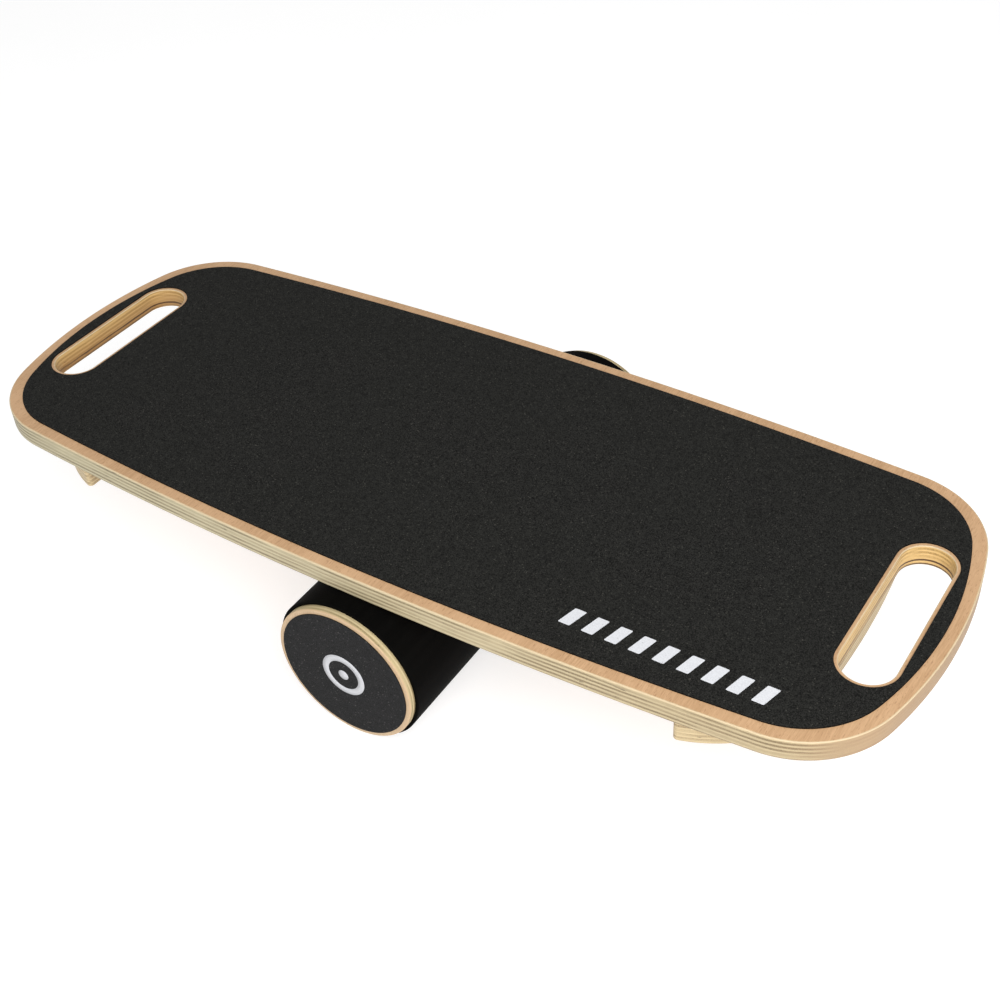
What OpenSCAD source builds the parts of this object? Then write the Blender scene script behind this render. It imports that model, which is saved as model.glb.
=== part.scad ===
// Balance board: a plywood deck with two hand slots, resting on a free roller.
// X runs along the board, Y across it and along the roller, Z up.
// The origin is on the floor, under the middle of the roller's length.

/* [Deck] */
// Length of the plywood deck
deck_l = 720; // [712:1:760]
// Width of the deck at its middle
deck_w = 282; // [275:1:320]
// Thickness of the plywood
deck_t = 16; // [12:1:22]
// Radius of the curved ends of the deck
end_r = 315; // [280:1:340]
// Radius of the slightly bowed long sides
side_r = 3690; // [3000:10:6000]
// Radius of the four corners
corner_r = 69; // [50:1:75]
// Distance from the middle of the roller's length back to the middle of the deck
deck_y = -8; // [-20:1:20]

/* [Grip sheet] */
// Length of the sheet
sheet_l = 704; // [694:1:708]
// Width of the sheet at its middle
sheet_w = 265; // [255:1:272]
// Thickness of the sheet
sheet_t = 0.8; // [0.6:0.1:1.5]
// Radius of the curved ends of the sheet
sheet_end_r = 260; // [240:1:300]
// Radius of the bowed long sides of the sheet
sheet_side_r = 3450; // [2800:10:6000]
// Radius of the four corners of the sheet
sheet_corner_r = 62; // [50:1:70]

/* [Hand slots] */
// Distance from the middle of the deck to the middle of a slot
slot_x = 322; // [321:1:326]
// Length of a slot, across the deck
slot_l = 131; // [110:1:140]
// Width of a slot
slot_w = 35; // [28:1:38]
// Bare veneer between a slot and the grip sheet
slot_margin = 2.5; // [1:0.5:4]

/* [Stops] */
// Distance from the middle of the deck to the stop's flat wall
stop_x = 237; // [200:1:238]
// Length of the flat wall, across the deck
stop_l = 261; // [230:1:262]
// Width of a stop, along the deck
stop_w = 65.5; // [56:0.5:66.5]
// Thickness of a stop
stop_t = 18.5; // [15:0.5:21]
// Radius of a stop's outer wall
stop_outer_r = 640; // [300:10:2000]
// Radius of the two curved sides of a stop
stop_side_r = 100; // [95:1:160]
// How far inside the flat wall the curved sides would be widest
stop_lead = 25; // [0:1:30]
// Radius of the two outer corners of a stop
stop_r = 40; // [20:1:45]
// Radius of the two inner corners of a stop
stop_inner_r = 3; // [1:0.5:5]

/* [Roller] */
// Outside diameter of the roller, over its sleeve
roller_d = 112; // [100:1:130]
// Length of the roller, over its end faces
roller_l = 336; // [300:1:340]
// Where the roller stands along the deck
roller_x = 12; // [-100:1:100]
// Thickness of the grip sleeve
sleeve_t = 2.5; // [2:0.5:4]
// How far an end disc stands out of the sleeve
disc_out = 6; // [4:0.5:10]
// Thickness of a plywood end disc
disc_t = 12; // [10:0.5:15]
// Wall of the core tube
core_wall = 4.4; // [3:0.1:8]
// Thickness of the plug behind a disc
plug_t = 12; // [8:1:18]
// Bare rim of wood around the grip on an end face
rim_w = 3.5; // [2:0.5:6]

/* [Fasteners] */
// Diameter of the wood screws
screw_d = 4; // [3:0.5:5]
// Diameter of their countersunk heads
screw_head_d = 8; // [6:0.5:10]
// Length of a screw through a stop
stop_screw_l = 28; // [24:1:30]
// Length of a screw through an end disc
disc_screw_l = 20; // [16:1:22]

/* [Graphics] */
// Number of bars in the plain mark on the deck
bar_count = 9; // [3:1:9]
// Height of a bar, across the deck
bar_l = 15; // [10:1:20]
// Width of a bar
bar_w = 8; // [4:1:12]
// Distance from one bar to the next
bar_pitch = 16; // [14:1:17]
// Outside diameter of the ring on an end face
ring_d = 34; // [26:1:50]
// Width of the ring's line
ring_w = 5; // [2:1:5]

/* [Hidden] */

// Clearances: under the deck, at the core tube's wall and at its ends
deck_gap = 0.3;
core_fit = 0.06;
core_end_gap = 0.3;

// Heights
roller_r = roller_d / 2;
roller_z = roller_r;
deck_z = roller_d + deck_gap;
deck_top = deck_z + deck_t;
sheet_top = deck_top + sheet_t;
stop_z = deck_z - stop_t;

// Roller sizes
disc_r = roller_r - sleeve_t;
core_r = disc_r - core_fit;
core_inner_r = core_r - core_wall;
plug_r = core_inner_r - core_fit;
end_grip_t = 0.8;
end_grip_r = disc_r - rim_w;
disc_face = roller_l / 2 - end_grip_t;
disc_back = disc_face - disc_t;
sleeve_half_l = roller_l / 2 - disc_out;

// Marks: depth of the printed inlays, lean of the bars, and where the row of bars begins
mark_t = 0.3;
bar_lean = 4;
mark_x = 148;
mark_y = -109;
mark_dot_d = 8;

// Screws
disc_screw_count = 3;
disc_screw_pcd = 60;
stop_screw_count = 4;
stop_screw_pitch = 64;
tip_l = 5;
recess_l = 4.6;
recess_w = 0.9;
recess_deep = 1.4;

// Steps along each kind of arc in an outline
end_steps = 6;
corner_steps = 10;
side_steps = 8;
slot_steps = 16;
stop_outer_steps = 6;
stop_side_steps = 8;
stop_inner_steps = 4;

// Facets of turned solids
roller_facets = 128;
ring_facets = 96;
dot_facets = 64;
screw_facets = 48;

// How far a cutting solid runs past the face it cuts
overcut = 1;

// Points of an arc about c, from angle a0 to a1
function arc(c, r, a0, a1, n) =
    [for (i = [0:n]) let (a = a0 + (a1 - a0) * i / n) c + r * [cos(a), sin(a)]];

// A list without its first point
function tail(p) = [for (i = [1:len(p) - 1]) p[i]];

// Direction of the vector v, in degrees
function heading(v) = atan2(v[1], v[0]);

// Point at distance re from e and rs from s, to the left of the way from e to s
function meeting(e, s, re, rs) =
    let (v = s - e, d = norm(v), a = (re * re - rs * rs + d * d) / (2 * d),
         h = sqrt(re * re - a * a))
    e + (a * v - h * [v[1], -v[0]]) / d;

// One quarter of an outline: end arc, corner arc, side arc
function quarter(hl, hw, re, rs, rc) =
    let (e = [hl - re, 0], s = [0, hw - rs],
         c1 = meeting(e, s, re - rc, rs - rc),
         c = [abs(c1[0]), abs(c1[1])],
         from_end = heading(c - e), from_side = heading(c - s))
    concat(arc(e, re, 0, from_end, end_steps),
           tail(arc(c, rc, from_end, from_side, corner_steps)),
           tail(arc(s, rs, from_side, 90, side_steps)));

// The whole outline: length, width, and radii of the ends, sides and corners
function outline(l, w, re, rs, rc) =
    let (q = quarter(l / 2, w / 2, re, rs, rc), n = len(q))
    concat(q,
           [for (i = [n - 2:-1:0]) [-q[i][0], q[i][1]]],
           [for (i = [1:n - 1]) [-q[i][0], -q[i][1]]],
           [for (i = [n - 2:-1:1]) [q[i][0], -q[i][1]]]);

// A slot with round ends, along Y
function slot_points(l, w) =
    concat(arc([0, (l - w) / 2], w / 2, 0, 180, slot_steps),
           arc([0, -(l - w) / 2], w / 2, 180, 360, slot_steps));

module slots_2d(l, w) {
    for (side = [-1, 1])
        translate([side * slot_x, 0]) polygon(slot_points(l, w));
}

// A countersunk wood screw with its head at z = 0, pointing up
module screw_body(l) {
    head_h = (screw_head_d - screw_d) / 2;
    rotate_extrude($fn = screw_facets)
        polygon([[0, 0], [screw_head_d / 2, 0], [screw_d / 2, head_h],
                 [screw_d / 2, l - tip_l], [0, l]]);
}

module screw(l) {
    difference() {
        screw_body(l);
        for (turn = [0, 90])
            rotate(turn)
                translate([-recess_l / 2, -recess_w / 2, -overcut])
                    cube([recess_l, recess_w, overcut + recess_deep]);
    }
}

// Places along a stop, in the deck's frame, for side = -1 or 1
module stop_screw_places(side) {
    for (i = [0:stop_screw_count - 1])
        translate([side * (stop_x + stop_w / 2),
                   deck_y + (i - (stop_screw_count - 1) / 2) * stop_screw_pitch,
                   stop_z])
            children();
}

module all_stop_screws() {
    for (side = [-1, 1])
        stop_screw_places(side) screw_body(stop_screw_l);
}

module deck_board() {
    color("burlywood")
        difference() {
            on_deck(deck_z)
                linear_extrude(deck_t)
                    difference() {
                        polygon(outline(deck_l, deck_w, end_r, side_r, corner_r));
                        slots_2d(slot_l, slot_w);
                    }
            all_stop_screws();
        }
}

// The row of slanted bars, about the middle of the sheet
module mark_bars(h) {
    for (i = [0:bar_count - 1])
        translate([mark_x + i * bar_pitch, mark_y, 0])
            linear_extrude(h)
                polygon([[0, 0], [bar_w, 0], [bar_w + bar_lean, bar_l], [bar_lean, bar_l]]);
}

module on_deck(z) {
    translate([0, deck_y, z]) children();
}

module grip_sheet() {
    color("dimgray")
        difference() {
            on_deck(deck_top)
                linear_extrude(sheet_t)
                    difference() {
                        polygon(outline(sheet_l, sheet_w, sheet_end_r, sheet_side_r, sheet_corner_r));
                        slots_2d(slot_l + 2 * slot_margin, slot_w + 2 * slot_margin);
                    }
            on_deck(sheet_top - mark_t) mark_bars(mark_t + overcut);
        }
}

module deck_mark() {
    color("white") on_deck(sheet_top - mark_t) mark_bars(mark_t);
}

// Plan of the right stop's rear half: outer wall, outer corner, curved side, inner corner
function half_stop() =
    let (o = [stop_x + stop_w - stop_outer_r, 0],
         s = [stop_x - stop_lead,
              stop_l / 2 - sqrt(stop_side_r * stop_side_r - stop_lead * stop_lead)],
         outer = meeting(o, s, stop_outer_r - stop_r, stop_side_r - stop_r),
         inner_x = stop_lead + stop_inner_r,
         inner_reach = stop_side_r - stop_inner_r,
         inner = s + [inner_x, sqrt(inner_reach * inner_reach - inner_x * inner_x)],
         from_wall = heading(outer - o), to_side = heading(outer - s),
         to_inner = heading(inner - s))
    concat(arc(o, stop_outer_r, 0, from_wall, stop_outer_steps),
           tail(arc(outer, stop_r, from_wall, to_side, corner_steps)),
           tail(arc(s, stop_side_r, to_side, to_inner, stop_side_steps)),
           tail(arc(inner, stop_inner_r, to_inner, 180, stop_inner_steps)));

// Plan of the right stop: flat wall towards the roller, bowed outer wall, curved sides
function stop_points() =
    let (h = half_stop(), n = len(h))
    concat(h, [for (i = [n - 1:-1:1]) [h[i][0], -h[i][1]]]);

module stop(side) {
    color("wheat")
        difference() {
            on_deck(stop_z)
                linear_extrude(stop_t)
                    mirror([side < 0 ? 1 : 0, 0]) polygon(stop_points());
            all_stop_screws();
        }
}

module stop_left() {
    stop(-1);
}

module stop_right() {
    stop(1);
}

module stop_screws(side) {
    color("silver") stop_screw_places(side) screw(stop_screw_l);
}

// Turns a solid built along +Z so that it lies along the roller, for end = -1 (front) or 1 (rear)
module along_roller(end) {
    translate([roller_x, 0, roller_z])
        rotate([-end * 90, 0, 0])
            children();
}

module core_tube() {
    half_l = disc_back - core_end_gap;
    color("tan")
        along_roller(1)
            translate([0, 0, -half_l])
                difference() {
                    cylinder(r = core_r, h = 2 * half_l, $fn = roller_facets);
                    translate([0, 0, -overcut])
                        cylinder(r = core_inner_r, h = 2 * (half_l + overcut), $fn = roller_facets);
                }
}

module roller_sleeve() {
    color("darkslategray")
        along_roller(1)
            translate([0, 0, -sleeve_half_l])
                difference() {
                    cylinder(r = roller_r, h = 2 * sleeve_half_l, $fn = roller_facets);
                    translate([0, 0, -overcut])
                        cylinder(r = disc_r, h = 2 * (sleeve_half_l + overcut), $fn = roller_facets);
                }
}

// The screws of one end, heads flush with the disc's face and pointing inward
module disc_screw_places(end) {
    along_roller(end)
        for (i = [0:disc_screw_count - 1])
            rotate(90 + i * 360 / disc_screw_count)
                translate([disc_screw_pcd / 2, 0, disc_face])
                    rotate([180, 0, 0])
                        children();
}

module end_disc(end) {
    color("burlywood")
        difference() {
            along_roller(end)
                translate([0, 0, disc_back]) cylinder(r = disc_r, h = disc_t, $fn = roller_facets);
            disc_screw_places(end) screw_body(disc_screw_l);
        }
}

module end_plug(end) {
    color("tan")
        difference() {
            along_roller(end)
                translate([0, 0, disc_back - plug_t])
                    cylinder(r = plug_r, h = plug_t, $fn = roller_facets);
            disc_screw_places(end) screw_body(disc_screw_l);
        }
}

module disc_screws(end) {
    color("silver") disc_screw_places(end) screw(disc_screw_l);
}

// The plain mark of an end face: a ring with a dot in it
module ring_mark(h) {
    difference() {
        cylinder(d = ring_d, h = h, $fn = ring_facets);
        translate([0, 0, -overcut])
            cylinder(d = ring_d - 2 * ring_w, h = h + 2 * overcut, $fn = ring_facets);
    }
    cylinder(d = mark_dot_d, h = h, $fn = dot_facets);
}

module end_grip(end) {
    color("dimgray")
        along_roller(end)
            difference() {
                translate([0, 0, disc_face])
                    cylinder(r = end_grip_r, h = end_grip_t, $fn = roller_facets);
                translate([0, 0, roller_l / 2 - mark_t]) ring_mark(mark_t + overcut);
            }
}

module end_mark(end) {
    color("white")
        along_roller(end)
            translate([0, 0, roller_l / 2 - mark_t]) ring_mark(mark_t);
}

deck_board();
grip_sheet();
deck_mark();
stop_left();
stop_right();
stop_screws(-1);  // stop_screws_left
stop_screws(1);  // stop_screws_right
core_tube();
roller_sleeve();
end_disc(-1);  // end_disc_front
end_disc(1);  // end_disc_rear
end_plug(-1);  // end_plug_front
end_plug(1);  // end_plug_rear
disc_screws(-1);  // disc_screws_front
disc_screws(1);  // disc_screws_rear
end_grip(-1);  // end_grip_front
end_grip(1);  // end_grip_rear
end_mark(-1);  // end_mark_front
end_mark(1);  // end_mark_rear
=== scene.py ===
# Balance board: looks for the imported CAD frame. Units are metres, in the frame of the CAD model.
import math

import bmesh
import bpy
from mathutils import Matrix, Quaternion, Vector


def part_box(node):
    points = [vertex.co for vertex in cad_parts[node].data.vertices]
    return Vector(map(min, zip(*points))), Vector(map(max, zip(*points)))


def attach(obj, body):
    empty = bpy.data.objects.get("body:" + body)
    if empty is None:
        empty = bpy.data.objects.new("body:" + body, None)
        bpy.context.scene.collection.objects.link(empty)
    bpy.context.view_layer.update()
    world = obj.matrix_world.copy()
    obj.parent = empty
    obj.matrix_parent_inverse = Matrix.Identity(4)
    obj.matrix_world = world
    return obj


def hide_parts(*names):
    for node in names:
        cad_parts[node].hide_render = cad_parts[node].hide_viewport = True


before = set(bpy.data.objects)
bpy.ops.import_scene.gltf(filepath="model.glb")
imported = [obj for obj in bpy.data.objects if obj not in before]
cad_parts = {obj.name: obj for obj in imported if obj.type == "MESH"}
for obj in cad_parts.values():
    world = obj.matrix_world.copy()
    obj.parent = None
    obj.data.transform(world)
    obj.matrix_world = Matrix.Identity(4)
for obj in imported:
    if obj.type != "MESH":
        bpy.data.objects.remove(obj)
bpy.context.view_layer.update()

MM = 0.001


# ---------------------------------------------------------------- places, from the frame

def middle(box):
    """Centre of a (lowest, highest) box."""
    return (box[0] + box[1]) / 2


def half_width(box):
    """Half of a box's size along X, which is the radius of a turned piece."""
    return (box[1].x - box[0].x) / 2


def outer_inner(box, way):
    """Y of an end piece's two faces, the outer one first. way is -1 at the front, 1 at the rear."""
    return (box[0].y, box[1].y) if way < 0 else (box[1].y, box[0].y)


deck_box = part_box("deck_board")
sheet_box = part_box("grip_sheet")
mark_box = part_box("deck_mark")
sleeve_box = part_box("roller_sleeve")
roller_axis = middle(sleeve_box)
SIDES = {"left": -1, "right": 1}
ENDS = {"front": -1, "rear": 1}

# Radii of the curved ends, bowed sides and corners: the deck's, and the grip sheet's
DECK_RADII = (315 * MM, 3690 * MM, 69 * MM)
SHEET_RADII = (260 * MM, 3450 * MM, 62 * MM)

# Hand slots in the wood, and how much wider the grip sheet is cut
SLOT_X = 322 * MM
SLOT_L = 131 * MM
SLOT_W = 35 * MM
SLOT_MARGIN = 2.5 * MM

# Rounded edges
DECK_ROUND = 0.9 * MM
DECK_ROUND_BELOW = 1.5 * MM
SLOT_ROUND = 0.6 * MM
SHEET_ROUND = 0.2 * MM
SHEET_ROUND_BELOW = 0.02 * MM
STOP_ROUND_BELOW = 0.9 * MM
STOP_ROUND = 0.1 * MM
DISC_ROUND = 0.9 * MM
DISC_CHAMFER = 0.2 * MM
SLEEVE_ROUND = 0.6 * MM
BAR_ROUND = 0.04 * MM
BAR_ROUND_BELOW = 0.01 * MM

# How much lower than its CAD face the grit lies, so that the marks printed on it stand proud
PRINT_PROUD = 0.05 * MM

# Stops: curved sides that would be widest a little inside the flat wall, and rounded corners
STOP_SIDE_R = 100 * MM
STOP_LEAD = 25 * MM
STOP_CORNER_R = 40 * MM
STOP_OUTER_R = 640 * MM
STOP_INNER_R = 3 * MM

# Screws through each stop, and the countersinks they sit in
SCREWS_PER_STOP = 4
PIT_CLEARANCE = 0.25 * MM
PIT_FLOOR_R = 2.1 * MM
PIT_DEPTH = 2.3 * MM
PIT_STEPS = 40

# Plies: thickness of one ply and of the visible outermost skin, how far a ply's line wanders,
# and depth of the first dark ply
PLY = 1.62 * MM
PLY_SKIN = 0.75 * MM
PLY_WANDER = 1.1 * MM
FIRST_DARK = 1.5 * MM
DISC_FIRST_DARK = 0.85 * MM

# Where the deck's plies fade into the plain tones of its ends, from the middle outwards; the left end's
# tone holds painted shade
FADE_FROM = 295 * MM
FADE_TO = 356 * MM

# Two lines that the cutter scorched round the hand slots: their depths below the top face, and
# how far from its middle a line is full and where it ends
SCORCH_UPPER = 11.9 * MM
SCORCH_LOWER = 15.2 * MM
SCORCH_CORE = 0.45 * MM
SCORCH_EDGE = 0.95 * MM

# Scale of the grit's grains, and of the prints that lie on it
GRIT_SCALE = 1500

# Mark on the deck
BAR_COUNT = 9
BAR_W = 8 * MM
BAR_LEAN = 4 * MM
BAR_CORNER_R = 0.9 * MM

# Mark on the end faces
RING_LINE = 5 * MM
DOT_R = 4 * MM

# Spacing of points along an outline: its arcs, its long sides, its straights, the slots' round
# ends and the stops' small corners
POINT_STEP = 2.0 * MM
SIDE_STEP = 8.0 * MM
STRAIGHT_STEP = 6.0 * MM
SLOT_STEP = 1.0 * MM
CORNER_STEP = 0.6 * MM


# ---------------------------------------------------------------- outlines

def arc(centre, radius, start, end, step=POINT_STEP):
    """Points of an arc from one angle to another, in radians."""
    count = max(3, math.ceil(abs(end - start) * radius / step))
    angles = [start + (end - start) * i / count for i in range(count + 1)]
    return [Vector((centre[0] + radius * math.cos(a), centre[1] + radius * math.sin(a))) for a in angles]


def heading(a, b):
    """Angle of the line from a to b."""
    return math.atan2(b[1] - a[1], b[0] - a[0])


def meeting(a, b, from_a, from_b):
    """The point at two given distances from a and b, to the left of the way from a to b."""
    apart = (b - a).length
    along = (from_a ** 2 - from_b ** 2 + apart ** 2) / (2 * apart)
    off = math.sqrt(from_a ** 2 - along ** 2)
    way = (b - a) / apart
    return a + along * way + off * Vector((-way.y, way.x))


def quarter(half_l, half_w, end_r, side_r, corner_r):
    """End arc, corner arc and side arc, each touching the next, in the first quadrant."""
    end_c = Vector((half_l - end_r, 0))
    side_c = Vector((0, half_w - side_r))
    corner_c = meeting(end_c, side_c, end_r - corner_r, side_r - corner_r)
    corner_c = Vector((abs(corner_c.x), abs(corner_c.y)))
    from_end, from_side = heading(end_c, corner_c), heading(side_c, corner_c)
    return (arc(end_c, end_r, 0, from_end)
            + arc(corner_c, corner_r, from_end, from_side)[1:]
            + arc(side_c, side_r, from_side, math.pi / 2, SIDE_STEP)[1:])


def board_outline(box, radii):
    """A board's outline, counterclockwise, filling a box."""
    c, half = middle(box), (box[1] - box[0]) / 2
    q = quarter(half.x, half.y, *radii)
    full = (q + [Vector((-p.x, p.y)) for p in q[-2::-1]]
            + [Vector((-p.x, -p.y)) for p in q[1:]]
            + [Vector((p.x, -p.y)) for p in q[-2:0:-1]])
    return [p + c.xy for p in full]


def slot_outline(centre, length, width):
    """A slot with round ends along Y, clockwise because it is a hole."""
    r, straight = width / 2, (length - width) / 2
    points = (arc((centre[0], centre[1] + straight), r, 0, math.pi, SLOT_STEP)
              + arc((centre[0], centre[1] - straight), r, math.pi, 2 * math.pi, SLOT_STEP))
    return spread(points, STRAIGHT_STEP)[::-1]


def spread(points, step):
    """The same closed outline with extra points on its long straight stretches."""
    out = []
    for p, q in zip(points, points[1:] + points[:1]):
        n = max(1, math.ceil((q - p).length / step))
        out += [p.lerp(q, i / n) for i in range(n)]
    return out


def stop_outline(box, side):
    """A stop's plan: a flat wall towards the roller, curved sides and a bowed outer wall."""
    c, half = middle(box), (box[1] - box[0]) / 2
    lead, reach = STOP_LEAD + STOP_INNER_R, STOP_SIDE_R - STOP_INNER_R
    wide = math.sqrt(reach ** 2 - lead ** 2)
    side_c = Vector((-half.x - STOP_LEAD, half.y - wide - STOP_INNER_R))
    outer_c = Vector((half.x - STOP_OUTER_R, 0))
    corner_c = meeting(outer_c, side_c, STOP_OUTER_R - STOP_CORNER_R, STOP_SIDE_R - STOP_CORNER_R)
    inner_c = side_c + Vector((lead, wide))
    from_wall = heading(outer_c, corner_c)
    to_side, to_inner = heading(side_c, corner_c), heading(side_c, inner_c)
    upper = (arc(outer_c, STOP_OUTER_R, 0, from_wall)
             + arc(corner_c, STOP_CORNER_R, from_wall, to_side)[1:]
             + arc(side_c, STOP_SIDE_R, to_side, to_inner)[1:]
             + arc(inner_c, STOP_INNER_R, to_inner, math.pi, CORNER_STEP)[1:])
    points = spread(upper + [Vector((p.x, -p.y)) for p in upper[:0:-1]], STRAIGHT_STEP)
    if side < 0:
        points = [Vector((-p.x, p.y)) for p in points[::-1]]
    return [p + c.xy for p in points]


def rounded_polygon(corners, radius, steps=4):
    """A convex counterclockwise polygon with each corner rounded by a curve."""
    out = []
    for before, p, after in zip(corners[-1:] + corners[:-1], corners, corners[1:] + corners[:1]):
        a = p + (before - p).normalized() * radius
        b = p + (after - p).normalized() * radius
        out += [a.lerp(p, t).lerp(p.lerp(b, t), t) for t in (i / steps for i in range(steps + 1))]
    return out


def outward(points):
    """Unit normals that point away from the material, on the right of the way round."""
    normals = []
    for before, after in zip(points[-1:] + points[:-1], points[1:] + points[:1]):
        t = (after - before).normalized()
        normals.append(Vector((t.y, -t.x)))
    return normals


# ---------------------------------------------------------------- solids

# Material numbers of a piece: its faces, its outer wall and the walls of its holes
FACE, EDGE, HOLE = 0, 1, 2

# A face has a narrow flat ring inside its rounded edge, and round each countersink, so that
# smooth shading doesn't lean into it. The rings' reach, in roundings for a plate, an end disc
# and a grip disc, and in radii for a countersink
CAP_RING = 1.15
DISC_RING = 1.2
GRIP_RING = 1.3
PIT_RING = 1.1

# Corners closer together than this are one
MERGE_DISTANCE = 1e-7


def finish_mesh(name, bm, materials):
    """Turns a bmesh into an object with smooth faces and its materials."""
    bmesh.ops.remove_doubles(bm, verts=bm.verts, dist=MERGE_DISTANCE)
    bmesh.ops.recalc_face_normals(bm, faces=bm.faces)
    mesh = bpy.data.meshes.new(name)
    bm.to_mesh(mesh)
    bm.free()
    mesh.shade_smooth()
    piece = bpy.data.objects.new(name, mesh)
    bpy.context.scene.collection.objects.link(piece)
    for material in materials:
        mesh.materials.append(material)
    return piece


def edge_profile(z0, z1, round0, round1, steps=5):
    """(inset, height) pairs down a side wall with rounded edges, flat rings included."""
    top = [(round1 * CAP_RING, z1)]
    bottom = [(round0 * CAP_RING, z0)]
    for i in range(steps + 1):
        a = math.pi / 2 * i / steps
        top.append((round1 * (1 - math.sin(a)), z1 - round1 * (1 - math.cos(a))))
        bottom.append((round0 * (1 - math.sin(a)), z0 + round0 * (1 - math.cos(a))))
    return top + bottom[::-1]


def add_slab(bm, loops, z0, z1, pits=()):
    """Adds one plate. loops are (outline, lower rounding, upper rounding, wall material), holes
    running clockwise. pits are countersinks (x, y, radius, inner radius, depth) in the lower
    face."""
    top_edges, bottom_edges = [], []
    for points, round0, round1, wall in loops:
        profile = edge_profile(z0, z1, round0, round1)
        normals = outward(points)
        n = len(points)
        rings = [[bm.verts.new((*(p - m * inset), z)) for p, m in zip(points, normals)]
                 for inset, z in profile]
        for k, (upper, lower) in enumerate(zip(rings, rings[1:])):
            flat = k == 0 or k == len(rings) - 2
            for i in range(n):
                j = (i + 1) % n
                face = bm.faces.new((upper[i], lower[i], lower[j], upper[j]))
                face.material_index = FACE if flat else wall
        top_edges += [bm.edges.get((rings[0][i], rings[0][(i + 1) % n])) for i in range(n)]
        bottom_edges += [bm.edges.get((rings[-1][i], rings[-1][(i + 1) % n])) for i in range(n)]
    for x, y, r_out, r_in, depth in pits:
        turn = [2 * math.pi * i / PIT_STEPS for i in range(PIT_STEPS)]
        ring, mouth, floor = ([bm.verts.new((x + r * math.cos(a), y + r * math.sin(a), z)) for a in turn]
                              for r, z in ((PIT_RING * r_out, z0), (r_out, z0), (r_in, z0 + depth)))
        for i in range(PIT_STEPS):
            j = (i + 1) % PIT_STEPS
            bm.faces.new((ring[i], ring[j], mouth[j], mouth[i])).material_index = FACE
            bm.faces.new((mouth[i], mouth[j], floor[j], floor[i])).material_index = EDGE
        bm.faces.new(floor).material_index = EDGE
        bottom_edges += [bm.edges.get((ring[i], ring[(i + 1) % PIT_STEPS])) for i in range(PIT_STEPS)]
    for edges in (top_edges, bottom_edges):
        filled = bmesh.ops.triangle_fill(bm, use_beauty=True, use_dissolve=False, edges=edges)
        for item in filled["geom"]:
            if isinstance(item, bmesh.types.BMFace):
                item.material_index = FACE


def slab(name, loops, z0, z1, materials, pits=()):
    """One plate as an object."""
    bm = bmesh.new()
    add_slab(bm, loops, z0, z1, pits)
    return finish_mesh(name, bm, materials)


def add_lathe(bm, profile, segments=192):
    """Adds a solid turned about the roller's axis. profile is a list of (radius, y, material),
    where the material is that of the band that starts there. A closed profile that stays off
    the axis makes a tube."""
    turn = [2 * math.pi * i / segments for i in range(segments)]
    rings = []
    for radius, y, _ in profile:
        if radius == 0:
            rings.append([bm.verts.new((roller_axis.x, y, roller_axis.z))])
        else:
            rings.append([bm.verts.new((roller_axis.x + radius * math.sin(a), y,
                                        roller_axis.z + radius * math.cos(a))) for a in turn])
    tube = all(radius > 0 for radius, _, _ in profile)
    pairs = list(zip(range(len(rings)), range(1, len(rings))))
    if tube:
        pairs.append((len(rings) - 1, 0))
    for k, m in pairs:
        a, b = rings[k], rings[m]
        for i in range(segments):
            j = (i + 1) % segments
            if len(a) == 1:
                corners = (a[0], b[i], b[j])
            elif len(b) == 1:
                corners = (a[i], b[0], a[j])
            else:
                corners = (a[i], b[i], b[j], a[j])
            bm.faces.new(corners).material_index = profile[k][2]


def turned(name, profiles, materials):
    """One or more turned solids as an object."""
    bm = bmesh.new()
    for profile in profiles:
        add_lathe(bm, profile)
    return finish_mesh(name, bm, materials)


def round_corner(r, y, radius, r_way, y_way, material, steps=6):
    """Profile points round a turned edge whose corner is at (r, y), from the face to the side."""
    points = []
    for i in range(steps + 1):
        a = math.pi / 2 * i / steps
        points.append((r + r_way * radius * (1 - math.sin(a)),
                       y + y_way * radius * (1 - math.cos(a)), material))
    return points


# ---------------------------------------------------------------- materials

def stretched(axis, along, across):
    """A texture's scale, with one value along an axis and another across it."""
    return tuple(along if name == axis else across for name in "XYZ")


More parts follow.
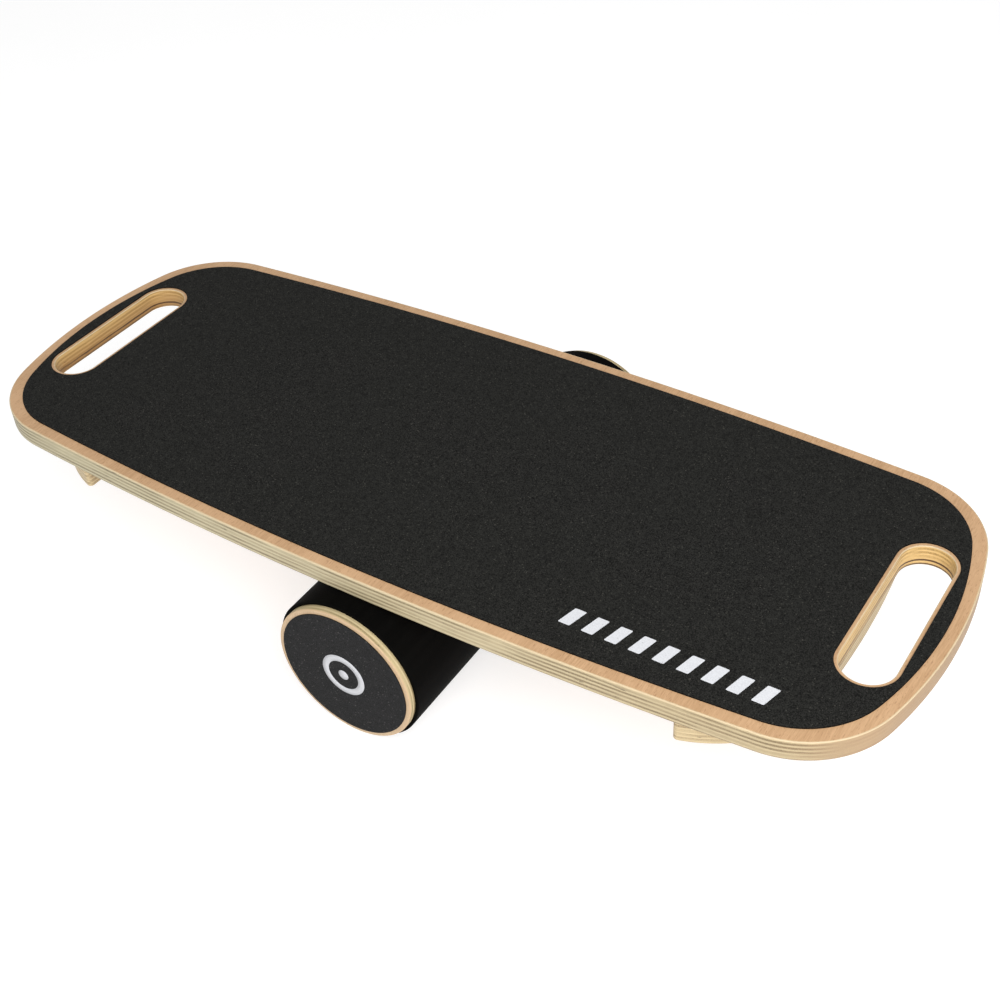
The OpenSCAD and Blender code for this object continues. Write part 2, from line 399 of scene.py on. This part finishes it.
class Shader:
    """A material with short calls for adding and joining nodes."""

    def __init__(self, name):
        self.material = bpy.data.materials.new(name)
        self.material.use_nodes = True
        self.tree = self.material.node_tree
        self.bsdf = self.tree.nodes["Principled BSDF"]
        self.place = self.tree.nodes.new("ShaderNodeTexCoord")

    def set(self, **values):
        """Sets shader sockets that are the same all over."""
        for key, value in values.items():
            self.bsdf.inputs[key.replace("_", " ")].default_value = value

    def link(self, source, socket):
        """Joins an output, or sets a plain value, to an input socket."""
        if isinstance(source, (int, float, tuple)):
            socket.default_value = source
        else:
            self.tree.links.new(source, socket)

    def math(self, operation, a, b=0.0, c=0.0):
        """An arithmetic node on up to three values."""
        node = self.tree.nodes.new("ShaderNodeMath")
        node.operation = operation
        for source, socket in zip((a, b, c), node.inputs):
            self.link(source, socket)
        return node.outputs[0]

    def noise(self, scale, detail=2.0, stretch=(1, 1, 1), roughness=0.5, distortion=0.0):
        """Smooth noise on the object coordinates, each axis multiplied by its stretch."""
        place = self.tree.nodes.new("ShaderNodeMapping")
        place.inputs["Scale"].default_value = stretch
        self.link(self.place.outputs["Object"], place.inputs["Vector"])
        node = self.tree.nodes.new("ShaderNodeTexNoise")
        self.link(place.outputs[0], node.inputs["Vector"])
        node.inputs["Scale"].default_value = scale
        node.inputs["Detail"].default_value = detail
        node.inputs["Roughness"].default_value = roughness
        node.inputs["Distortion"].default_value = distortion
        return node.outputs["Fac"]

    def cells(self, scale):
        """A random grey for each small cell."""
        node = self.tree.nodes.new("ShaderNodeTexVoronoi")
        self.link(self.place.outputs["Object"], node.inputs["Vector"])
        node.inputs["Scale"].default_value = scale
        split = self.tree.nodes.new("ShaderNodeSeparateColor")
        self.link(node.outputs["Color"], split.inputs[0])
        return split.outputs[0]

    def ramp(self, source, stops):
        """A colour ramp through (position, colour) stops."""
        node = self.tree.nodes.new("ShaderNodeValToRGB")
        points = node.color_ramp.elements
        while len(points) < len(stops):
            points.new(0.5)
        for point, (position, colour) in zip(points, stops):
            point.position = position
            point.color = (*colour, 1.0)
        self.link(source, node.inputs[0])
        return node.outputs[0]

    def step(self, source, low, high):
        """0 below low, 1 above high, smooth between."""
        node = self.tree.nodes.new("ShaderNodeMapRange")
        node.interpolation_type = "SMOOTHSTEP"
        self.link(source, node.inputs["Value"])
        node.inputs["From Min"].default_value = low
        node.inputs["From Max"].default_value = high
        return node.outputs[0]

    def mix(self, factor, a, b, blend="MIX"):
        """Colour a, going over to b, or to a blend with it, as factor goes from 0 to 1."""
        node = self.tree.nodes.new("ShaderNodeMix")
        node.data_type = "RGBA"
        node.blend_type = blend
        for source, socket in ((factor, node.inputs[0]), (a, node.inputs[6]), (b, node.inputs[7])):
            if isinstance(source, tuple):
                source = (*source, 1.0)
            self.link(source, socket)
        return node.outputs[2]

    def axis(self, name, output="Object"):
        """One of X, Y, Z of the object coordinates, or of the normal."""
        node = self.tree.nodes.new("ShaderNodeSeparateXYZ")
        self.link(self.place.outputs[output], node.inputs[0])
        return node.outputs[name]

    def colour(self, source):
        """The surface's own colour."""
        self.link(source, self.bsdf.inputs["Base Color"])

    def rough(self, source, low, high):
        """Roughness between low and high as source goes from 0 to 1."""
        self.link(self.math("MULTIPLY_ADD", source, high - low, low), self.bsdf.inputs["Roughness"])

    def bump(self, source, distance, strength):
        """Relief as high as distance where source is 1."""
        node = self.tree.nodes.new("ShaderNodeBump")
        node.inputs["Distance"].default_value = distance
        node.inputs["Strength"].default_value = strength
        self.link(source, node.inputs["Height"])
        self.link(node.outputs[0], self.bsdf.inputs["Normal"])


def veneer(name, light, dark, fleck, grain="Y"):
    """Clear-lacquered face veneer, its grain along Y, or along Z on the roller's end faces."""
    s = Shader(name)
    along = stretched(grain, 0.07, 1)
    fibre = s.noise(1500, 4, along, 0.62)
    bands = s.noise(90, 3, along, 0.5, 0.4)
    patches = s.noise(14, 2)
    tone = s.math("ADD", s.math("MULTIPLY", fibre, 0.68), s.math("MULTIPLY", bands, 0.32))
    base = s.ramp(tone, [(0.38, dark), (0.62, light)])
    base = s.mix(s.step(patches, 0.40, 0.66), base, s.mix(0.5, base, light))
    flecks = s.step(s.noise(1250, 2, stretched(grain, 0.22, 1), 0.5), 0.60, 0.70)
    s.colour(s.mix(s.math("MULTIPLY", flecks, 0.55), base, fleck))
    s.rough(fibre, 0.40, 0.58)
    s.set(Coat_Weight=0.22, Coat_Roughness=0.28, Specular_IOR_Level=0.45)
    s.bump(fibre, 0.06 * MM, 0.6)
    return s.material


def ply_edge(name, axis, last, first, colours, skin_and_highlight,
             ends=None, scorch_and_shade=None, flips=True, start=FIRST_DARK):
    """The cut edge of plywood, its plies stacked along an axis from the first face to the last, with the
    first dark ply at a depth of start. colours are the long-grain ply, the end-grain ply and the glue line;
    skin_and_highlight is the outermost plies' colour, and where it is cream it is partly a painted
    highlight along rounded edges. flips swaps long grain and end grain between walls that face X and walls
    that face Y. ends are the plain tones into which the plies fade at the board's ends, as (left colour,
    right colour); the left one is greyer as painted shade, and the wall too is painted darker and greyer
    towards the left as shade. scorch_and_shade is a brown that deepens downwards, mostly in the left slot
    as painted shade, and draws two scorched lines."""
    long_grain, end_grain, glue = colours
    s = Shader(name)

    # Which ply a point lies in, and how far into it
    wander = s.math("MULTIPLY_ADD", s.noise(26, 3), PLY_WANDER, -PLY_WANDER / 2)
    from_first = s.math("ABSOLUTE", s.math("SUBTRACT", first, s.axis(axis)))
    from_last = s.math("ABSOLUTE", s.math("SUBTRACT", last, s.axis(axis)))
    depth = s.math("SUBTRACT", from_first, wander)
    level = s.math("DIVIDE", s.math("SUBTRACT", depth, start), PLY)
    inside = s.math("FRACT", level)
    odd = s.math("FLOORED_MODULO", s.math("FLOOR", level), 2.0)
    if flips:
        faces_x = s.step(s.math("ABSOLUTE", s.axis("X", "Normal")), 0.45, 0.95)
        odd = s.math("ADD", s.math("MULTIPLY", odd, s.math("SUBTRACT", 1.0, faces_x)),
                     s.math("MULTIPLY", s.math("SUBTRACT", 1.0, odd), faces_x))

    # Long grain with streaks, and end grain with pores and patches
    streaks = s.noise(120, 5, stretched(axis, 14, 1), 0.65)
    pores = s.noise(1700, 2)
    shade = s.noise(40, 3, stretched(axis, 7, 0.35))
    light = s.mix(s.step(streaks, 0.32, 0.68), tuple(v * 0.84 for v in long_grain), long_grain)
    dark = s.mix(s.step(pores, 0.36, 0.64), tuple(v * 0.66 for v in end_grain), end_grain)
    dark = s.mix(s.math("MULTIPLY", s.step(shade, 0.42, 0.62), 0.62), dark, long_grain)
    wood = s.mix(odd, dark, light)

    # Glue lines, strong in places, and a few dark gaps
    from_seam = s.math("ABSOLUTE", s.math("SUBTRACT", inside, 0.5))
    seam = s.math("MULTIPLY", s.step(from_seam, 0.36, 0.48), s.step(s.noise(46, 2), 0.42, 0.62))
    wood = s.mix(s.math("MULTIPLY", seam, 0.55), wood, glue)
    gaps = s.step(s.noise(80, 2, stretched(axis, 9, 1), 0.45), 0.70, 0.74)
    wood = s.mix(s.math("MULTIPLY", gaps, 0.75), wood, tuple(v * 0.3 for v in glue))

    if scorch_and_shade:
        wood = scorched_and_shaded(s, wood, scorch_and_shade, depth, shade)
    if ends:
        wood = faded(s, wood, ends, pores)

    # The thin outermost plies, whose cream on the deck is partly a painted highlight along its rounded
    # edges
    to_face = s.math("MINIMUM", from_first, from_last)
    outermost = s.math("SUBTRACT", 1.0, s.step(to_face, 0.7 * PLY_SKIN, PLY_SKIN))
    skin_and_highlight_tone = s.mix(s.step(streaks, 0.3, 0.7), tuple(v * 0.93 for v in skin_and_highlight), skin_and_highlight)
    s.colour(s.mix(outermost, wood, skin_and_highlight_tone))
    s.rough(streaks, 0.50, 0.66)
    s.set(Coat_Weight=0.10, Coat_Roughness=0.35, Specular_IOR_Level=0.35)
    relief = s.math("SUBTRACT", s.math("MULTIPLY", streaks, 0.5), s.math("ADD", seam, gaps))
    s.bump(relief, 0.12 * MM, 0.7)
    return s.material


def scorched_and_shaded(s, wood, scorch_and_shade_brown, depth, shade):
    """The wood of a slot's wall, browner with depth and towards the left slot, with two dark lines that
    shade breaks up. The browning towards the left slot is painted shade, where less light falls."""
    # Painted shade: the left slot's walls browner, where less light falls
    rightness = s.math("MULTIPLY", s.step(s.axis("X"), -0.1, 0.1), 0.75)
    left_shade = s.math("SUBTRACT", 1.0, rightness)
    # Browner with depth, mostly in the left slot as painted shade
    deep_left_shade = s.math("MULTIPLY", s.step(depth, -0.8 * SCORCH_UPPER, 1.6 * SCORCH_UPPER), left_shade)
    wood = s.mix(s.math("MULTIPLY", deep_left_shade, 0.75), wood, tuple(v * 3.0 for v in scorch_and_shade_brown))
    for line in (SCORCH_UPPER, SCORCH_LOWER):
        off_line = s.math("ABSOLUTE", s.math("SUBTRACT", depth, line))
        scorch = s.math("SUBTRACT", 1.0, s.step(off_line, SCORCH_CORE, SCORCH_EDGE))
        wood = s.mix(s.math("MULTIPLY", scorch, s.step(shade, 0.26, 0.46)), wood, scorch_and_shade_brown)
    return wood


def faded(s, wood, ends, pores):
    """The wood of the deck's wall, with painted shade making it darker and greyer towards the left, tinted
    towards the right, and fading into the ends' plain tones, (left, right), with their pores; the left tone
    is greyer and darker as painted shade too."""
    across = s.step(s.axis("X"), -FADE_TO, FADE_TO)
    # Painted shade: the wall darker and greyer towards the left, where less light falls; a warm tint
    # towards the right
    left_shade_right_tint = s.ramp(across, [(0.0, LEFT_PAINTED_SHADE), (0.5, WHITE), (1.0, RIGHT_TINT)])
    wood = s.mix(1.0, wood, left_shade_right_tint, "MULTIPLY")
    pitting = s.ramp(pores, [(0.3, PORE_GREY), (0.7, WHITE)])
    # The ends' plain tones; the left one is greyer and darker as painted shade
    plain = s.mix(1.0, s.mix(across, *ends), pitting, "MULTIPLY")
    fade = s.step(s.math("ABSOLUTE", s.axis("X")), FADE_FROM, FADE_TO)
    return s.mix(s.math("MULTIPLY", fade, 0.9), wood, plain)


def grit(name, low, high, glint):
    """Gritted grip sheet: fine mineral grains in a matte resin, a few of them catching light."""
    s = Shader(name)
    grains = s.noise(GRIT_SCALE, 3, roughness=0.75)
    coarse = s.noise(330, 2)
    tone = s.math("ADD", s.math("MULTIPLY", grains, 0.9), s.math("MULTIPLY", coarse, 0.1))
    base = s.ramp(tone, [(0.42, low), (0.58, high)])
    sparks = s.step(s.cells(GRIT_SCALE), 0.975, 0.995)
    s.colour(s.mix(s.math("MULTIPLY", sparks, 0.6), base, glint))
    s.rough(grains, 0.75, 0.95)
    s.set(Specular_IOR_Level=0.12)
    s.bump(s.math("ADD", grains, s.math("MULTIPLY", sparks, 0.3)), 0.30 * MM, 0.8)
    return s.material


def sheet_side_glue_and_shade():
    """The sheet's cut edge, dark brown and darker than its grit: partly a glue line, partly painted shade
    along the sheet's edge.
    """
    s = Shader("sheet_side_glue_and_shade")
    texture = s.noise(900, 2)
    s.colour(s.ramp(texture, [(0.3, (0.0022, 0.0015, 0.0010)), (0.7, (0.0060, 0.0042, 0.0028))]))
    s.rough(texture, 0.8, 0.95)
    s.set(Specular_IOR_Level=0.1)
    s.bump(texture, 0.1 * MM, 0.5)
    return s.material


def sleeve_rubber():
    """Near-black sleeve with a fine texture and faint streaks along the roller."""
    s = Shader("sleeve_rubber")
    texture = s.noise(1700, 2, roughness=0.6)
    streaks = s.noise(160, 3, stretched("Y", 0.05, 1))
    tone = s.math("ADD", s.math("MULTIPLY", texture, 0.6), s.math("MULTIPLY", streaks, 0.4))
    s.colour(s.ramp(tone, [(0.32, (0.0008, 0.0008, 0.0007)), (0.68, (0.0030, 0.0029, 0.0026))]))
    s.rough(texture, 0.62, 0.84)
    s.set(Specular_IOR_Level=0.03)
    s.bump(texture, 0.18 * MM, 0.7)
    return s.material


def print_white(name, low, high):
    """White print that takes up the grit under it."""
    s = Shader(name)
    grains = s.noise(GRIT_SCALE, 3, roughness=0.7)
    wear = s.step(s.noise(700, 2), 0.66, 0.74)
    base = s.ramp(grains, [(0.3, low), (0.6, high)])
    s.colour(s.mix(s.math("MULTIPLY", wear, 0.5), base, WORN_PRINT))
    s.rough(grains, 0.55, 0.8)
    s.bump(grains, 0.22 * MM, 0.8)
    return s.material


def steel():
    """Zinc-plated steel with fine turning marks."""
    s = Shader("screw_steel")
    marks = s.noise(2600, 3)
    s.colour(s.ramp(marks, [(0.3, (0.50, 0.48, 0.42)), (0.7, (0.70, 0.68, 0.62))]))
    s.rough(marks, 0.26, 0.46)
    s.set(Metallic=1.0)
    s.bump(marks, 0.03 * MM, 0.5)
    return s.material


def core_plastic():
    """Plain grey tube."""
    s = Shader("core_plastic")
    texture = s.noise(800, 3, stretched("Y", 0.1, 1))
    s.colour(s.ramp(texture, [(0.3, (0.40, 0.40, 0.41)), (0.7, (0.50, 0.50, 0.51))]))
    s.rough(texture, 0.45, 0.6)
    s.bump(texture, 0.04 * MM, 0.5)
    return s.material


def floor_paint():
    """Pale studio floor that glows a little, like a light table, so shadows stay faint."""
    s = Shader("studio_floor")
    cloud = s.noise(3, 3)
    s.colour(s.ramp(cloud, [(0.3, (0.50, 0.50, 0.50)), (0.7, (0.52, 0.52, 0.52))]))
    s.rough(cloud, 0.7, 0.8)
    s.set(Specular_IOR_Level=0.2, Emission_Color=(*WHITE, 1.0), Emission_Strength=FLOOR_GLOW)
    return s.material


WHITE = (1.0, 1.0, 1.0)
PORE_GREY = (0.88, 0.88, 0.88)
WORN_PRINT = (0.35, 0.35, 0.36)
# Cream of the outermost plies, partly the cut veneer and partly a painted highlight along the rounded edges
CREAM_AND_HIGHLIGHT = (0.605, 0.475, 0.297)
PEACH_LIGHT = (0.602, 0.375, 0.203)
PEACH_DARK = (0.452, 0.263, 0.128)
PEACH_FLECK = (0.31, 0.155, 0.068)
DISC_LIGHT = (0.500, 0.350, 0.205)
DISC_DARK = (0.380, 0.255, 0.140)
DISC_LONG = (0.600, 0.492, 0.280)
DISC_END = (0.340, 0.258, 0.128)
LONG_GRAIN = (0.510, 0.440, 0.284)
END_GRAIN = (0.272, 0.214, 0.122)
GLUE = (0.25, 0.175, 0.095)
STOP_LONG = (0.570, 0.450, 0.260)
STOP_END = (0.410, 0.305, 0.165)
# Left end's plain tone, greyer and darker as painted shade
LEFT_SHADED_TAN = (0.330, 0.285, 0.190)
WARM_TAN = (0.385, 0.247, 0.136)
# Painted shade: the deck's wall darker and greyer towards the left
LEFT_PAINTED_SHADE = (0.90, 0.93, 0.93)
RIGHT_TINT = (0.91, 0.84, 0.77)
GOLD_LONG = (0.74, 0.505, 0.207)
GOLD_END = (0.53, 0.340, 0.117)
GOLD_GLUE = (0.30, 0.165, 0.065)
# Brown of the scorched lines round the slots, and, made stronger, painted shade down the left slot's walls
SCORCH_AND_SHADE_BROWN = (0.080, 0.036, 0.010)

face_veneer = veneer("face_veneer", PEACH_LIGHT, PEACH_DARK, PEACH_FLECK)
disc_veneer = veneer("disc_veneer", DISC_LIGHT, DISC_DARK, PEACH_FLECK, "Z")
# The deck's plies, with painted shade on the left of the wall and a painted highlight in the cream of its
# rounded edges
deck_plies_painted_light = ply_edge("deck_plies_painted_light", "Z", deck_box[0].z, deck_box[1].z,
                      (LONG_GRAIN, END_GRAIN, GLUE), CREAM_AND_HIGHLIGHT, ends=(LEFT_SHADED_TAN, WARM_TAN))
# The slot walls' plies, with painted shade browning them downwards and in the left slot
slot_plies_painted_light = ply_edge("slot_plies_painted_light", "Z", deck_box[0].z, deck_box[1].z,
                      (GOLD_LONG, GOLD_END, GOLD_GLUE), CREAM_AND_HIGHLIGHT, scorch_and_shade=SCORCH_AND_SHADE_BROWN)
black_grit = grit("black_grit", (0.0015, 0.0015, 0.0014), (0.0262, 0.0262, 0.0236), (0.078, 0.075, 0.064))
grey_grit = grit("grey_grit", (0.0035, 0.0035, 0.0037), (0.025, 0.025, 0.0255), (0.105, 0.10, 0.095))
sheet_edge_glue_and_shade = sheet_side_glue_and_shade()
deck_print = print_white("deck_print", (0.58, 0.59, 0.62), (0.70, 0.71, 0.74))
end_print = print_white("end_print", (0.40, 0.405, 0.425), (0.50, 0.505, 0.525))
sleeve_black = sleeve_rubber()
zinc = steel()


# ---------------------------------------------------------------- the deck

def slot_holes(box, margin):
    """Outlines of the two hand slots in a plate, each wider than in the wood by a margin."""
    centre = middle(box)
    return [slot_outline((centre.x + side * SLOT_X, centre.y), SLOT_L + 2 * margin, SLOT_W + 2 * margin)
            for side in SIDES.values()]


def board_piece():
    """Plywood deck."""
    loops = [(board_outline(deck_box, DECK_RADII), DECK_ROUND_BELOW, DECK_ROUND, EDGE)]
    loops += [(hole, SLOT_ROUND, SLOT_ROUND, HOLE) for hole in slot_holes(deck_box, 0)]
    board = slab("plywood_deck", loops, deck_box[0].z, deck_box[1].z,
                 [face_veneer, deck_plies_painted_light, slot_plies_painted_light])
    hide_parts("deck_board")
    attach(board, "deck")


def sheet_piece():
    """Grip sheet, glued on top of the deck."""
    outlines = [board_outline(sheet_box, SHEET_RADII)] + slot_holes(sheet_box, SLOT_MARGIN)
    loops = [(points, SHEET_ROUND_BELOW, SHEET_ROUND, EDGE) for points in outlines]
    sheet = slab("grit_sheet", loops, sheet_box[0].z, sheet_box[1].z - PRINT_PROUD,
                 [black_grit, sheet_edge_glue_and_shade])
    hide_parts("grip_sheet")
    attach(sheet, "deck")


def bars_piece():
    """Plain slanted bars, printed on the grip sheet."""
    lo, hi = mark_box
    pitch = (hi.x - lo.x - BAR_W - BAR_LEAN) / (BAR_COUNT - 1)
    bm = bmesh.new()
    for i in range(BAR_COUNT):
        x = lo.x + i * pitch
        corners = [Vector((x, lo.y)), Vector((x + BAR_W, lo.y)),
                   Vector((x + BAR_W + BAR_LEAN, hi.y)), Vector((x + BAR_LEAN, hi.y))]
        bar = rounded_polygon(corners, BAR_CORNER_R)
        add_slab(bm, [(bar, BAR_ROUND_BELOW, BAR_ROUND, FACE)], lo.z, hi.z)
    bars = finish_mesh("printed_bars", bm, [deck_print])
    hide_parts("deck_mark")
    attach(bars, "deck")


def stop_piece(name, side):
    """One stop, with countersinks for its screws."""
    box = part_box(f"stop_{name}")
    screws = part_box(f"stop_screws_{name}")
    head_r = half_width(screws)
    first, last = screws[0].y + head_r, screws[1].y - head_r
    pits = [(middle(screws).x, first + (last - first) * i / (SCREWS_PER_STOP - 1),
             head_r + PIT_CLEARANCE, PIT_FLOOR_R, PIT_DEPTH) for i in range(SCREWS_PER_STOP)]
    plies = ply_edge(f"stop_plies_{name}", "Z", box[0].z, box[1].z,
                     (STOP_LONG, STOP_END, GLUE), STOP_LONG)
    piece = slab(f"plywood_stop_{name}",
                 [(stop_outline(box, side), STOP_ROUND_BELOW, STOP_ROUND, EDGE)],
                 box[0].z, box[1].z, [face_veneer, plies], pits)
    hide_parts(f"stop_{name}")
    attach(piece, "deck")


# ---------------------------------------------------------------- the roller

def sleeve_piece():
    """Grip sleeve, a tube with softened ends that fits the discs."""
    lo, hi = sleeve_box[0].y, sleeve_box[1].y
    outer, inner = half_width(sleeve_box), half_width(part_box("end_disc_front"))
    front = round_corner(outer, lo, SLEEVE_ROUND, -1, 1, FACE)
    rear = round_corner(outer, hi, SLEEVE_ROUND, -1, -1, FACE)[::-1]
    profile = [(inner, lo, FACE)] + front + rear + [(inner, hi, FACE)]
    piece = turned("grip_sleeve", [profile], [sleeve_black])
    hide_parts("roller_sleeve")
    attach(piece, "roller")


def disc_piece(name, way):
    """Plywood disc of one end."""
    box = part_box(f"end_disc_{name}")
    outer, inner = outer_inner(box, way)
    r = half_width(box)
    plies = ply_edge(f"disc_plies_{name}", "Y", inner, outer,
                     (DISC_LONG, DISC_END, GLUE), DISC_LIGHT, flips=False, start=DISC_FIRST_DARK)
    rim = round_corner(r, outer, DISC_ROUND, -1, -way, EDGE)
    profile = ([(0, outer, FACE), (r - DISC_RING * DISC_ROUND, outer, FACE)] + rim
               + [(r, inner + DISC_CHAMFER * way, EDGE), (r - DISC_CHAMFER, inner, FACE), (0, inner, FACE)])
    disc = turned(f"plywood_disc_{name}", [profile], [disc_veneer, plies])
    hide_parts(f"end_disc_{name}")
    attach(disc, "roller")


def grip_piece(name, way):
    """Grip disc on one end face."""
    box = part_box(f"end_grip_{name}")
    outer, inner = outer_inner(box, way)
    outer -= way * PRINT_PROUD
    r = half_width(box)
    rim = round_corner(r, outer, SHEET_ROUND, -1, -way, FACE, 3)
    profile = ([(0, outer, FACE), (r - GRIP_RING * SHEET_ROUND, outer, FACE)] + rim
               + [(r, inner, FACE), (0, inner, FACE)])
    grip = turned(f"grit_disc_{name}", [profile], [grey_grit])
    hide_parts(f"end_grip_{name}")
    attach(grip, "roller")


def ring_piece(name, way):
    """Plain ring and dot, printed on one end's grip disc."""
    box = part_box(f"end_mark_{name}")
    outer, inner = outer_inner(box, way)
    r = half_width(box)
    ring = [(r, inner, FACE), (r, outer, FACE),
            (r - RING_LINE, outer, FACE), (r - RING_LINE, inner, FACE)]
    dot = [(0, inner, FACE), (DOT_R, inner, FACE), (DOT_R, outer, FACE), (0, outer, FACE)]
    mark = turned(f"printed_ring_{name}", [ring, dot], [end_print])
    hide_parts(f"end_mark_{name}")
    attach(mark, "roller")


def finish_cad_nodes():
    """Gives the CAD pieces that stay their materials."""
    def paint(node, material):
        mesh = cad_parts[node].data
        mesh.materials.clear()
        mesh.materials.append(material)

    paint("core_tube", core_plastic())
    for name in SIDES:
        paint(f"stop_screws_{name}", zinc)
    for name in ENDS:
        paint(f"disc_screws_{name}", zinc)
        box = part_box(f"end_plug_{name}")
        paint(f"end_plug_{name}", ply_edge(f"plug_plies_{name}", "Y", box[0].y, box[1].y,
                                           (LONG_GRAIN, END_GRAIN, GLUE), CREAM_AND_HIGHLIGHT, flips=False))


# ---------------------------------------------------------------- camera, floor and lights

CAMERA_AIM = Vector((0.0558, -0.0302, 0.0))
CAMERA_DISTANCE = 0.9807
CAMERA_AZIMUTH = 35.2
CAMERA_ELEVATION = 40.0
CAMERA_ROLL = -3.88
CAMERA_LENS = 52.83
CAMERA_SENSOR = 36.0

FLOOR_R = 15.0
FLOOR_STEPS = 96
FLOOR_GLOW = 0.64

# Brightness of the surroundings at the horizon, and from a height (as a sine) upwards
HORIZON = 1.0
OVERHEAD = 0.45
OVERHEAD_FROM = 0.45

# Lights: power is in watts
KEY_LIGHT = {"place": (1.0, -1.0, 1.3), "target": (0.05, 0, 0.1), "size": 1.4, "power": 36}
FILL_LIGHT = {"place": (0.6, -2.0, 1.1), "target": (0, 0, 0.1), "size": 1.6, "power": 4}


def make_camera():
    """A camera at the photographed angle, aimed near the middle of the grip sheet."""
    data = bpy.data.cameras.new("camera")
    data.lens = CAMERA_LENS
    data.sensor_width = CAMERA_SENSOR
    camera = bpy.data.objects.new("camera", data)
    bpy.context.scene.collection.objects.link(camera)
    a, e = math.radians(CAMERA_AZIMUTH), math.radians(CAMERA_ELEVATION)
    back = Vector((math.sin(a) * math.cos(e), -math.cos(a) * math.cos(e), math.sin(e)))
    aim = middle(sheet_box) + CAMERA_AIM
    aim.z = sheet_box[1].z
    camera.location = aim + back * CAMERA_DISTANCE
    camera.rotation_mode = "QUATERNION"
    roll = Quaternion((0, 0, 1), math.radians(CAMERA_ROLL))
    camera.rotation_quaternion = (-back).to_track_quat("-Z", "Y") @ roll
    bpy.context.scene.camera = camera


def area_light(name, place, target, size, power):
    """A soft square light aimed at a point."""
    data = bpy.data.lights.new(name, "AREA")
    data.shape = "SQUARE"
    data.size = size
    data.energy = power
    light = bpy.data.objects.new(name, data)
    light.location = place
    light.rotation_mode = "QUATERNION"
    light.rotation_quaternion = (Vector(target) - Vector(place)).to_track_quat("-Z", "Y")
    bpy.context.scene.collection.objects.link(light)


def make_surroundings():
    """White surroundings, brightest at the horizon, where they meet the floor."""
    world = bpy.data.worlds.new("studio")
    world.use_nodes = True
    tree = world.node_tree
    place = tree.nodes.new("ShaderNodeTexCoord")
    split = tree.nodes.new("ShaderNodeSeparateXYZ")
    strength = tree.nodes.new("ShaderNodeMapRange")
    strength.interpolation_type = "SMOOTHSTEP"
    strength.inputs["From Max"].default_value = OVERHEAD_FROM
    strength.inputs["To Min"].default_value = HORIZON
    strength.inputs["To Max"].default_value = OVERHEAD
    background = tree.nodes["Background"]
    background.inputs["Color"].default_value = (*WHITE, 1.0)
    tree.links.new(place.outputs["Generated"], split.inputs[0])
    tree.links.new(split.outputs["Z"], strength.inputs["Value"])
    tree.links.new(strength.outputs["Result"], background.inputs["Strength"])
    bpy.context.scene.world = world


def make_studio():
    """Pale floor and soft lights."""
    bm = bmesh.new()
    bmesh.ops.create_circle(bm, cap_ends=True, segments=FLOOR_STEPS, radius=FLOOR_R)
    floor = finish_mesh("studio_floor", bm, [floor_paint()])

    area_light("key", **KEY_LIGHT)
    area_light("fill", **FILL_LIGHT)


make_camera()
board_piece()
sheet_piece()
bars_piece()
for side_name, side_sign in SIDES.items():
    stop_piece(side_name, side_sign)
sleeve_piece()
for end_name, end_way in ENDS.items():
    disc_piece(end_name, end_way)
    grip_piece(end_name, end_way)
    ring_piece(end_name, end_way)
finish_cad_nodes()
make_surroundings()
make_studio()
bpy.context.scene.view_settings.view_transform = "Standard"
